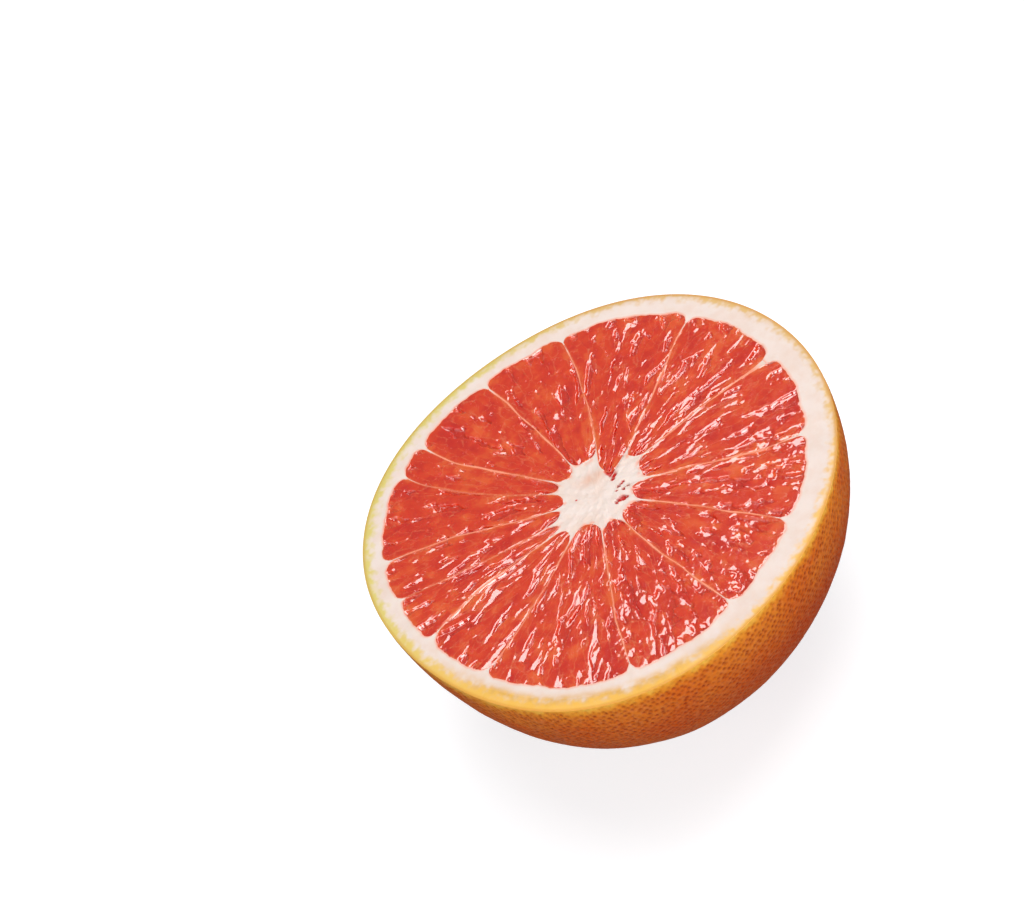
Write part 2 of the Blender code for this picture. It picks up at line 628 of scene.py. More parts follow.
@dataclass(frozen=True)
class PulpFinish:
    """Wet juice sacs: red, translucent, with paler skins between them."""

    deep: Colour = srgb(214, 33, 4)
    ripe: Colour = srgb(229, 59, 10)
    light: Colour = srgb(242, 97, 34)
    skin: Colour = srgb(252, 152, 100)
    scatter: float = 1.6 * MM

    def make(self) -> bpy.types.Material:
        """Makes the material.

        Returns:
            The material.
        """
        nodes = Nodes("pulp")
        own = nodes.math("MULTIPLY", nodes.attribute("tint"), 0.45)
        tint = nodes.math("ADD", own, nodes.ease(nodes.noise(3.5 * MM), 0.3, 0.7, -0.7, 0.7))
        body = nodes.mix(nodes.ease(tint, -1.1, 0.1), self.deep, self.ripe)
        body = nodes.mix(nodes.ease(tint, 0.0, 1.2), body, self.light)
        # Painted shade: deep red laid into the low places between the sacs.
        body = nodes.stain(body, hollow=self.deep)
        threads = nodes.ease(nodes.noise(0.35 * MM, 2.0), 0.35, 0.7, 0.3, 1.0)
        body = nodes.mix(nodes.math("MULTIPLY", nodes.attribute("skin"), threads), body, self.skin)
        weight = nodes.ease(nodes.attribute("beside"), 0.1 * MM, 1.4 * MM, 0.0, 0.70)
        nodes.settings(
            Base_Color=body, Roughness=nodes.ease(nodes.noise(1.1 * MM), 0.3, 0.75, 0.10, 0.30), IOR=1.5,
            Subsurface_Weight=weight, Subsurface_Scale=self.scatter, Subsurface_Radius=(1.0, 0.30, 0.18),
            Coat_Weight=1.0, Coat_Roughness=0.05, Coat_IOR=2.3,
        )
        nodes.bump(nodes.noise(0.30 * MM), 0.035 * MM, 0.9)
        return nodes.material


@dataclass(frozen=True)
class PithFinish:
    """Moist spongy pith, with the rind's oil glands showing as a toothed coloured edge."""

    white: Colour = srgb(239, 222, 213)
    cream: Colour = srgb(235, 212, 199)
    stain: Colour = srgb(226, 180, 156)
    green: Colour = srgb(224, 206, 112)
    tan: Colour = srgb(226, 182, 108)
    gold: Colour = srgb(246, 192, 88)
    outer: Colour = (0.88, 0.66, 0.42)
    juice: Colour = srgb(228, 176, 90)
    blush: Colour = srgb(249, 156, 124)
    pit: Colour = srgb(204, 26, 16)

    def make(self) -> bpy.types.Material:
        """Makes the material.

        Returns:
            The material.
        """
        nodes = Nodes("pith")
        body = nodes.mix(nodes.ease(nodes.noise(3.5 * MM), 0.35, 0.75), self.white, self.cream)
        body = nodes.stain(body, stain=self.stain, blush=self.blush)
        soaked = nodes.ease(nodes.noise(2.8 * MM, 2.0), 0.20, 0.65)
        body = nodes.mix(nodes.math("MULTIPLY", nodes.attribute("wet"), soaked), body, self.juice)
        teeth = nodes.ease(nodes.noise(1.5 * MM, 1.0), 0.30, 0.75, 0.35 * MM, 1.7 * MM)
        cool = nodes.math("SUBTRACT", 1.0, nodes.attribute("warm"))
        teeth = nodes.math("ADD", teeth, nodes.math("MULTIPLY", cool, 0.5 * MM))
        teeth = nodes.math("ADD", teeth, nodes.math("MULTIPLY", nodes.attribute("wet"), 0.5 * MM))
        edge = nodes.math("SUBTRACT", teeth, nodes.attribute("inward"))
        rind = nodes.stain(self.green, warm=self.tan, gold=self.gold)
        share = nodes.ease(edge, -1.5 * MM, 0.9 * MM, 0.0, 0.95)
        body = nodes.mix(share, body, rind)
        outer = nodes.ease(nodes.attribute("inward"), 0.0, 0.9 * MM, 0.9, 0.0)
        body = nodes.mix(outer, body, nodes.mix(1.0, rind, self.outer, "MULTIPLY"))
        body = nodes.stain(body, pit=self.pit)
        rough = nodes.math("SUBTRACT", 0.55, nodes.math("MULTIPLY", nodes.attribute("wet"), 0.3))
        rough = nodes.math("SUBTRACT", rough, nodes.math("MULTIPLY", nodes.attribute("pit"), 0.2))
        weight = nodes.ease(nodes.attribute("blush"), 0.0, 0.5, 0.15, 0.0)
        nodes.settings(
            Base_Color=body, Roughness=rough, IOR=1.4, Subsurface_Weight=weight, Subsurface_Scale=0.3 * MM,
            Subsurface_Radius=(1.0, 0.7, 0.5), Coat_Weight=0.15, Coat_Roughness=0.2,
        )
        nodes.bump(nodes.noise(0.45 * MM, 4.0), 0.03 * MM, 0.4)
        return nodes.material


@dataclass(frozen=True)
class RindFinish:
    """Waxy orange rind with dark pores, painted glow under the cut, painted sheen, blush and painted shade
    low down, and a few pale scuffs.
    """

    orange: Colour = srgb(224, 104, 26)
    amber: Colour = srgb(234, 132, 40)
    # A deeper red tone: partly the rind's blush, partly painted shade low on the fruit.
    blush_and_shade: Colour = srgb(196, 76, 20)
    # Painted sheen: a pale pinkish tan that stands in for soft highlights on the skin.
    painted_sheen: Colour = srgb(228, 138, 88)
    pore: Colour = srgb(136, 22, 0)
    # Painted light: the lighter, yellower band under the cut edge, and its brightest strip at the rim.
    edge: Colour = srgb(250, 164, 44)
    painted_rim_glow: Colour = srgb(255, 196, 84)
    scuff: Colour = srgb(232, 184, 140)
    scar: Colour = srgb(128, 96, 62)

    def make(self) -> bpy.types.Material:
        """Makes the material.

        Returns:
            The material.
        """
        nodes = Nodes("rind")
        body = nodes.mix(nodes.ease(nodes.noise(14 * MM), 0.35, 0.7), self.orange, self.amber)
        # Partly the rind's blush, partly painted shade: deeper red low down and on one side.
        body = nodes.stain(body, blush=self.blush_and_shade)
        # Painted sheen: fine patches of pale pinkish tan over the skin.
        body = nodes.mix(nodes.ease(nodes.noise(0.9 * MM), 0.45, 0.75, 0.0, 0.40), body, self.painted_sheen)
        uneven = nodes.ease(nodes.noise(2.5 * MM), 0.3, 0.7, -0.6 * MM, 0.6 * MM)
        band = nodes.math("ADD", nodes.attribute("rim"), uneven)
        # Painted light: a lighter, yellower band under the cut edge, brightest at the rim, where the pores
        # also show fainter.
        body = nodes.mix(nodes.ease(band, -0.4 * MM, 3.4 * MM, 1.0, 0.0), body, self.edge)
        body = nodes.mix(nodes.ease(band, -0.6 * MM, 1.6 * MM, 1.0, 0.0), body, self.painted_rim_glow)
        dot = nodes.ease(nodes.attribute("pore"), 0.0, 0.72 * MM, 0.86, 0.0)
        dot = nodes.math("MULTIPLY", dot, nodes.ease(band, 0.0, 3.4 * MM, 0.26, 1.0))
        body = nodes.mix(nodes.math("MULTIPLY", dot, nodes.attribute("strong")), body, self.pore)
        nodes.settings(
            Base_Color=nodes.stain(body, scuff=self.scuff, scar=self.scar),
            Roughness=nodes.ease(nodes.noise(3 * MM), 0.3, 0.7, 0.34, 0.50),
            IOR=1.45, Specular_IOR_Level=0.2, Subsurface_Weight=0.08,
            Subsurface_Scale=0.6 * MM, Subsurface_Radius=(1.0, 0.45, 0.15),
        )
        nodes.bump(nodes.noise(0.35 * MM), 0.02 * MM, 0.5)
        return nodes.material


# ---- Pulp -------------------------------------------------------------------------------------


@dataclass(frozen=True)
class SacHabit:
    """Size, height and lean of the juice sacs in one kind of segment, in metres."""

    half_length: tuple[float, float]
    half_width: tuple[float, float]
    crest: float
    crest_spread: float
    steep: float
    lean: float
    cover: float = 3.4


HABITS = {
    Pulp.SLICED: SacHabit((2.8 * MM, 7.0 * MM), (0.8 * MM, 1.6 * MM), 0.30 * MM, 0.30 * MM, 0.34, 0.12),
    Pulp.MIXED: SacHabit((2.4 * MM, 6.5 * MM), (0.7 * MM, 1.4 * MM), 0.18 * MM, 0.30 * MM, 0.35, 0.15),
    Pulp.WHOLE: SacHabit((2.6 * MM, 7.5 * MM), (0.65 * MM, 1.3 * MM), 0.05 * MM, 0.26 * MM, 0.34, 0.20),
    Pulp.LUMPY: SacHabit((1.6 * MM, 4.4 * MM), (0.65 * MM, 1.25 * MM), 0.02 * MM, 0.28 * MM, 0.40, 0.22),
}


@dataclass(frozen=True)
class Sac:
    """One juice sac: a long drop lying in the cut face, leaning to one side."""

    x: float
    y: float
    turn: float
    half_length: float
    half_width: float
    crest: float
    lean: float
    dip: float
    taper: float
    shade: float

    def rise(self, x: Array, y: Array, steep: float) -> tuple[Array, Array]:
        """Height of the sac's top.

        Args:
            x: Places in the cut face, in metres.
            y: Places in the cut face, in metres.
            steep: Depth of the rounded sides, as a share of the half width.

        Returns:
            Heights at the places inside the sac, and the mask of those places.
        """
        dx, dy = x - self.x, y - self.y
        along = (dx * math.cos(self.turn) + dy * math.sin(self.turn)) / self.half_length
        aside = -dx * math.sin(self.turn) + dy * math.cos(self.turn)
        width = self.half_width * (1 + self.taper * along)
        away = along ** 2 + (aside / width) ** 2
        inside = away < 1
        away, along, aside = away[inside], along[inside], aside[inside]
        top = -away ** 1.5
        slope = self.lean * aside + self.dip * along * self.half_length
        return self.crest + steep * self.half_width * top + slope, inside


class PulpSegments:
    """Fourteen segments of pulp, each a slab topped with its juice sacs."""

    STEP = 0.15 * MM
    SLAB = 2.2 * MM
    OVERLAP = 0.06 * MM
    UNDER = 0.003
    FLOOR = -0.60 * MM
    BLEND = 0.05 * MM

    def __init__(self, form: FruitForm, plans: Sequence[SegmentPlan], finish: PulpFinish) -> None:
        """Keeps the form, the plans and the finish."""
        self.form = form
        self.plans = plans
        self.material = finish.make()

    def make(self) -> list[bpy.types.Object]:
        """Makes all segments."""
        return [self.make_segment(plan) for plan in self.plans]

    def make_segment(self, plan: SegmentPlan) -> bpy.types.Object:
        """Makes one segment as a closed slab.

        Args:
            plan: The segment's plan.

        Returns:
            The piece.
        """
        inner, outer = plan.ends(np.array([0.5]))
        rows = int((outer[0] - inner[0]) / self.STEP) + 1
        start, end = plan.sides(outer)
        columns = int(outer[0] * (end[0] - start[0]) / self.STEP) + 1
        reach, across = np.meshgrid(np.linspace(0, 1, rows), np.linspace(0, 1, columns), indexing="ij")
        reach, across = reach.ravel(), across.ravel()
        x, y = plan.place(reach * (1 + 2 * self.UNDER) - self.UNDER, across, -self.OVERLAP)
        rng = np.random.default_rng(100 + plan.index)
        height, marks = self.sac_heights(plan, x, y, rows, rng)
        height = self.settle_edges(plan, reach, across, height, marks)
        top = np.column_stack((x, y, self.form.height + height))

        solid = SolidMesh(plan.name)
        solid.add_points(top)
        low = top.min(axis=0)[:2]
        span = float((top.max(axis=0)[:2] - low).max())
        spread = (top[:, :2] - low) / span
        spread = spread * np.array([0.96, 0.90]) + 0.02
        quads = grid_quads(rows, columns)
        solid.add_faces(quads, spread[quads])
        loop = np.roll(grid_border(rows, columns), columns - 1)
        base = top[loop].copy()
        base[:, 2] = self.form.height - self.SLAB
        solid.close_slab(loop, base)
        return solid.build([self.material], marks, crease=75.0)

    @staticmethod
    def soften(height: Array, rows: int) -> Array:
        """Rounds the creases of heights on a grid.

        Args:
            height: Heights, row by row.
            rows: Rows of the grid.

        Returns:
            The softened heights.
        """
        grid = height.reshape(rows, -1)
        for _ in range(2):
            wide = np.pad(grid, 1, mode="edge")
            grid = 0.5 * grid + 0.125 * (wide[:-2, 1:-1] + wide[2:, 1:-1] + wide[1:-1, :-2] + wide[1:-1, 2:])
        return grid.ravel()

    def sac_heights(
        self, plan: SegmentPlan, x: Array, y: Array, rows: int, rng: np.random.Generator,
    ) -> tuple[Array, dict[str, Array]]:
        """Heights of the juice sacs over a segment.

        Args:
            plan: The segment's plan.
            x: Places in the cut face, in metres.
            y: Places in the cut face, in metres.
            rows: Rows of the grid that the places are stored in.
            rng: Source of the sacs' places and sizes.

        Returns:
            Heights above the knife's plane, and the marks that the finish reads.
        """
        habit = HABITS[plan.kind]
        flat = flat_points(x, y)
        warp_x = LatticeNoise(11).layered(flat, 1.2 * MM, 3) * 0.20 * MM
        warp_y = LatticeNoise(12).layered(flat, 1.2 * MM, 3) * 0.20 * MM
        px, py = x + warp_x, y + warp_y
        best = np.full(len(x), self.FLOOR)
        second = np.full(len(x), self.FLOOR)
        tint = np.zeros(len(x))
        for sac in self.scatter(plan, habit, rng):
            close = (np.abs(px - sac.x) < sac.half_length) & (np.abs(py - sac.y) < sac.half_length)
            near = np.flatnonzero(close)
            if not len(near):
                continue
            rise, inside = sac.rise(px[near], py[near], habit.steep)
            near = near[inside]
            higher = rise > best[near]
            top, under = near[higher], near[~higher]
            second[top] = best[top]
            best[top] = rise[higher]
            tint[top] = sac.shade
            second[under] = np.maximum(second[under], rise[~higher])
        gap = best - second
        knife = 0.05 * MM * LatticeNoise(13).layered(flat, 5 * MM, 3)
        over = (best - knife) / self.BLEND
        cut = 1 / (1 + np.exp(-np.clip(over, -30, 30)))
        height = self.soften(knife - self.BLEND * np.logaddexp(0.0, -over), rows)
        bare = best <= self.FLOOR + 0.01 * MM
        seam = np.where(bare, 0.0, np.exp(-(gap / (0.05 * MM)) ** 2))
        azimuth = (np.arctan2(y, x) - math.radians(plan.first.core) + 1.0) % TURN
        streaks = np.column_stack((azimuth * 24 * MM + plan.index, np.hypot(x, y) / 7, azimuth * 0))
        tint = 0.5 * tint + 0.9 * LatticeNoise(16).layered(streaks, 1.5 * MM, 3)
        outline = np.exp(-((best - knife - 0.02 * MM) / (0.045 * MM)) ** 2)
        ripple = LatticeNoise(14).layered(flat, 0.7 * MM, 3)
        torn = smooth_step(0.25, 0.85, LatticeNoise(15).layered(flat, 3.0 * MM, 2))
        height = height + ripple * (0.010 + 0.035 * torn + 0.02 * (1 - cut)) * MM
        # Painted shade: darker red in the low places between sacs, growing from 0.25 mm to 0.8 mm down.
        hollow = smooth_step(-0.25 * MM, -0.80 * MM, height) * 0.6
        skin = np.clip(0.40 * seam + 0.35 * outline, 0, 1)
        return height, {"tint": tint, "skin": skin, "hollow": hollow}

    def scatter(self, plan: SegmentPlan, habit: SacHabit, rng: np.random.Generator) -> list["Sac"]:
        """Lays a segment's sacs, each about in line with the fruit's radius.

        Args:
            plan: The segment's plan.
            habit: Sizes and heights of its sacs.
            rng: Source of their places and sizes.

        Returns:
            The sacs.
        """
        inner, outer = plan.ends(np.array([0.5]))
        start, end = plan.sides(0.5 * (inner + outer))
        spread = float(end[0] - start[0])
        area = spread / 2 * float(outer[0] ** 2 - inner[0] ** 2)
        mean = math.pi * sum(habit.half_length) / 2 * sum(habit.half_width) / 2
        sacs = []
        for _ in range(int(habit.cover * area / mean)):
            radius = math.sqrt(rng.uniform(inner[0] ** 2, outer[0] ** 2))
            reach = (radius - inner[0]) / (outer[0] - inner[0])
            side_a, side_b = plan.sides(np.array([radius]))
            azimuth = float(side_a[0] + (side_b[0] - side_a[0]) * rng.uniform(-0.02, 1.02))
            sacs.append(Sac(
                x=radius * math.cos(azimuth),
                y=radius * math.sin(azimuth),
                turn=azimuth + rng.normal(0.0, math.radians(6 + 10 * reach)),
                half_length=rng.uniform(*habit.half_length) * (1.1 - 0.3 * reach),
                half_width=rng.uniform(*habit.half_width) * (0.70 + 0.45 * reach),
                crest=min(rng.normal(habit.crest, habit.crest_spread), 0.9 * MM),
                lean=rng.normal(0.0, habit.lean),
                dip=rng.normal(0.0, 0.40 * habit.lean),
                taper=rng.uniform(0.0, 0.35),
                shade=rng.uniform(-1.0, 1.0),
            ))
        return sacs

    @staticmethod
    def settle_edges(
        plan: SegmentPlan, reach: Array, across: Array, height: Array, marks: dict[str, Array],
    ) -> Array:
        """Brings the pulp level with the membranes and the pith along its edges, pales it there, and paints
        a lighter glow near the membranes.

        Args:
            plan: The segment's plan.
            reach: From 0 at the segment's inner end to 1 at its outer end.
            across: From 0 at the first membrane to 1 at the second.
            height: Heights above the knife's plane.
            marks: The finish's marks, changed in place.

        Returns:
            The settled heights.
        """
        inner, outer = plan.ends(across)
        radius = inner + (outer - inner) * reach
        start, end = plan.sides(radius)
        beside = np.minimum(across, 1 - across) * (end - start) * radius
        ahead = np.minimum(reach, 1 - reach) * (outer - inner)
        rim = np.minimum(beside, ahead)
        hold = 1 - smooth_step(0.0, 0.35 * MM, rim)
        marks["skin"] = np.maximum(marks["skin"], 0.8 * (1 - smooth_step(0.05 * MM, 0.35 * MM, rim)))
        # Painted glow: a lighter tone within 1.6 mm of the membranes.
        marks["tint"] = marks["tint"] + 0.5 * smooth_step(1.6 * MM, 0.3 * MM, beside)
        marks["beside"] = rim
        return height * (1 - hold) - 0.03 * MM * hold


# ---- Pith, membranes and core -----------------------------------------------------------------


class PithWeb:
    """Ring of pith, membranes and core, one slab with a well for each segment."""

    SLAB = 2.6 * MM
    WELL = 1.9 * MM
    LEAN = 1.0 * MM
    CORE_ROWS = 34
    WELL_ROWS = 96
    RING_ROWS = 18
    EDGE_COLUMNS = 3
    WELL_COLUMNS = 34
    WALL = 0.05 / 30
    WET_SIDE = 240.0

    def __init__(self, form: FruitForm, plans: Sequence[SegmentPlan], finish: PithFinish) -> None:
        """Keeps the form, the plans and the finish."""
        self.form = form
        self.plans = plans
        self.material = finish.make()

    def make(self) -> bpy.types.Object:
        """Makes the web as one closed piece.

        Returns:
            The piece.
        """
        x, y, wells = self.lay_grid()
        rows, columns = x.shape
        flat = flat_points(x.ravel(), y.ravel())
        height, marks = self.shape_top(flat, wells.ravel(), rows, columns)
        top = np.column_stack((flat[:, :2], self.form.height + height))
        solid = SolidMesh("pith")
        middle = top[0].copy()
        solid.add_points(top[columns:])
        centre = solid.add_points(middle[None])
        spread = (top[columns:, :2] / (2.1 * self.form.radius) + 0.5) * np.array([1.0, 0.90])
        spread = np.vstack((spread, np.array([[0.5, 0.45]])))
        quads = grid_quads(rows - 1, columns, closed=True)
        solid.add_faces(quads, spread[quads])
        ring = np.arange(columns)
        fan = np.stack((np.full(columns, centre), ring, (ring + 1) % columns), axis=-1)
        solid.add_faces(fan, spread[fan])
        loop = (rows - 2) * columns + ring
        base = top[columns:][loop].copy()
        base[:, :2] *= 1 - self.LEAN / self.form.radius
        base[:, 2] = self.form.height - self.SLAB
        solid.close_slab(loop, base)
        values = {label: np.concatenate((mark[columns:], mark[:1])) for label, mark in marks.items()}
        return solid.build([self.material], values, crease=50.0)

    def lay_grid(self) -> tuple[Array, Array, Array]:
        """Places of the top's vertices, row by row from the middle outwards.

        Returns:
            x and y in metres, and 1 where a vertex is down in a well, else 0.
        """
        columns = [self.lay_segment(plan) for plan in self.plans]
        return tuple(np.concatenate(part, axis=1) for part in zip(*columns))

    def lay_segment(self, plan: SegmentPlan) -> tuple[Array, Array, Array]:
        """Lays one segment's share of the grid, from one membrane's middle to just before the next one's.

        Args:
            plan: The segment's plan.

        Returns:
            x, y and wells, as in lay_grid, one row for each row of the grid.
        """
        edge = np.linspace(-1.0, 0.0, self.EDGE_COLUMNS + 1)
        well = np.linspace(0.0, 1.0, self.WELL_COLUMNS + 2)
        signs = np.concatenate((edge, well[1:-1], 1 - edge[::-1]))[:-1]
        across = np.clip(signs, 0.0, 1.0)
        beyond = signs - across
        in_well = (signs > 0) & (signs < 1)
        inner, outer = plan.ends(across)
        x_rows, y_rows, wells = [], [], []
        for radius, down in self.row_radii(inner, outer, across, plan):
            start, end = plan.sides(radius)
            safe = np.maximum(radius, 0.5 * MM)
            first, second = (np.minimum(half / safe, 0.2 * (end - start)) for half in plan.halves(radius))
            azimuth = start + first + (end - second - start - first) * across
            azimuth = azimuth + np.where(beyond < 0, beyond * first, beyond * second)
            x_rows.append(radius * np.cos(azimuth))
            y_rows.append(radius * np.sin(azimuth))
            wells.append(down * in_well)
        return np.array(x_rows), np.array(y_rows), np.array(wells, dtype=float)

    def row_radii(
        self, inner: Array, outer: Array, across: Array, plan: SegmentPlan,
    ) -> Iterable[tuple[Array, float]]:
        """Goes through the rows from the axis outwards.

        Args:
            inner: Inner radius of the segment in each column.
            outer: Outer radius of the segment in each column.
            across: From 0 at the first membrane to 1 at the second.
            plan: The segment's plan.

        Returns:
            For each row, the radius of its vertices, and 1 for a row in the well, else 0.
        """
        for step in range(self.CORE_ROWS):
            share = step / self.CORE_ROWS
            yield inner * share, 0.0
        yield inner, 0.0
        for step in range(self.WELL_ROWS):
            share = self.WALL + (1 - 2 * self.WALL) * step / (self.WELL_ROWS - 1)
            yield inner + (outer - inner) * share, 1.0
        start, end = plan.sides(outer)
        azimuth = start + (end - start) * across
        skin = self.form.outline(azimuth) - self.form.lip
        for step in range(self.RING_ROWS + 1):
            share = step / self.RING_ROWS
            yield outer + (skin - outer) * share, 0.0

    def shape_top(
        self, flat: Array, wells: Array, rows: int, columns: int,
    ) -> tuple[Array, dict[str, Array]]:
        """Shapes the web's top.

        Args:
            flat: Places in the cut face.
            wells: 1 where a vertex is down in a well, else 0.
            rows: Rows of the grid.
            columns: Vertices in a row.

        Returns:
            Heights above the knife's plane, and the marks that the finish reads.
        """
        x, y = flat[:, 0], flat[:, 1]
        radius = np.hypot(x, y)
        azimuth = np.arctan2(y, x)
        row = np.repeat(np.arange(rows), columns)
        ring_row = self.CORE_ROWS + self.WELL_ROWS
        core = 1 - smooth_step(0.8 * self.CORE_ROWS, 1.25 * self.CORE_ROWS, row.astype(float))
        sponge = LatticeNoise(21).layered(flat, 1.6 * MM, 3)
        swell = LatticeNoise(22).layered(flat, 6 * MM, 2)
        height = 0.02 * MM * sponge + 0.08 * MM * swell
        height = height + core * (0.09 * MM * LatticeNoise(23).layered(flat, 1.1 * MM, 3) - 0.03 * MM)
        membrane = (row > self.CORE_ROWS) & (row <= ring_row)
        height = np.where(membrane, height * 0.5 - 0.02 * MM, height)
        faint = np.zeros(len(flat))
        share = (row - self.CORE_ROWS) / self.WELL_ROWS
        per = columns // len(self.plans)
        column = np.tile(np.arange(columns), rows)
        for plan in self.plans:
            mine = (column // per == plan.index) & (column % per < per // 2)
            before = (column // per == (plan.index - 1) % len(self.plans)) & (column % per >= per // 2)
            faint[mine | before] = plan.first.faint
        height = np.where(wells > 0, -self.WELL, height)
        faint = np.where(membrane, faint * np.sin(np.pi * np.clip(share, 0, 1)) ** 0.6, 0.0)
        pit = np.maximum(self.core_pits(flat, height), 0.8 * faint)
        inward = self.form.outline(azimuth) - radius
        wet_side = np.cos(azimuth - math.radians(self.WET_SIDE)) * 0.5 + 0.5
        wet = smooth_step(0.84, 0.98, wet_side) * (1 - smooth_step(2.4 * MM, 4.6 * MM, inward))
        # A mottled cream patch just beside the core, on its +y side.
        near = ((x - 1.0 * MM) / 2.8) ** 2 + ((y - 4.8 * MM) / 1.4) ** 2
        mottle = np.clip(0.9 + 0.5 * LatticeNoise(24).layered(flat, 1.2 * MM, 2), 0, 1)
        stain = np.exp(-near / MM ** 2) * mottle
        blush = np.where(membrane, smooth_step(0.0, 0.16, share) * (1 - smooth_step(0.90, 1.0, share)), 0.0)
        ring_start = np.tile(radius.reshape(rows, columns)[ring_row + 1], rows)
        ring = smooth_step(0.6 * MM, 0.0, radius - ring_start)
        blush = np.where(row > ring_row, 0.7 * ring, blush)
        fray = smooth_step(-0.1, 0.8, LatticeNoise(27).layered(flat, 0.9 * MM, 2))
        fray = 0.75 * fray * smooth_step(0.84, 1.0, row / self.CORE_ROWS)
        blush = np.where(row <= self.CORE_ROWS, fray, blush)
        warm, gold = rim_tones(azimuth)
        marks = {"inward": inward, "wet": wet, "warm": warm, "gold": gold}
        marks.update(stain=stain, blush=blush, pit=pit)
        rounded = 0.07 * MM * smooth_step(1.2 * MM, self.form.lip, inward)
        height = height * smooth_step(self.form.lip, 1.4 * MM, inward) - rounded
        return height, marks

    @staticmethod
    def core_pits(flat: Array, height: Array) -> Array:
        """Sinks the red pits beside the core.

        Args:
            flat: Places in the cut face.
            height: Heights, changed in place.

        Returns:
            How far each vertex is inside a pit, from 0 to 1.
        """
        inside = np.zeros(len(flat))
        wobble = 1 + 0.30 * LatticeNoise(25).layered(flat, 1.2 * MM, 2)
        for x, y, size, depth in CORE_PITS:
            away = np.hypot(flat[:, 0] - x * MM, flat[:, 1] - y * MM) / (size * MM * wobble)
            deep = 1 - smooth_step(0.65, 1.1, away)
            floor = 0.14 * MM * LatticeNoise(26).layered(flat, 0.9 * MM, 2) - depth * MM
            height[:] = np.minimum(height, floor * deep + height * (1 - deep))
            inside = np.maximum(inside, deep)
        return inside


def rim_tones(azimuth: Array) -> tuple[Array, Array]:
    """Tones of the rind's cut edge around the fruit.

    Args:
        azimuth: Directions in radians.

    Returns:
        How warm, from green to tan, and how golden it is, from 0 to 1.
    """
    warm = smooth_step(-0.55, 0.35, np.cos(azimuth - math.radians(WARM_SIDE)))
    gold = smooth_step(-0.05, 0.85, np.cos(azimuth - math.radians(GOLD_SIDE)))
    return warm, gold


# ---- Rind -------------------------------------------------------------------------------------


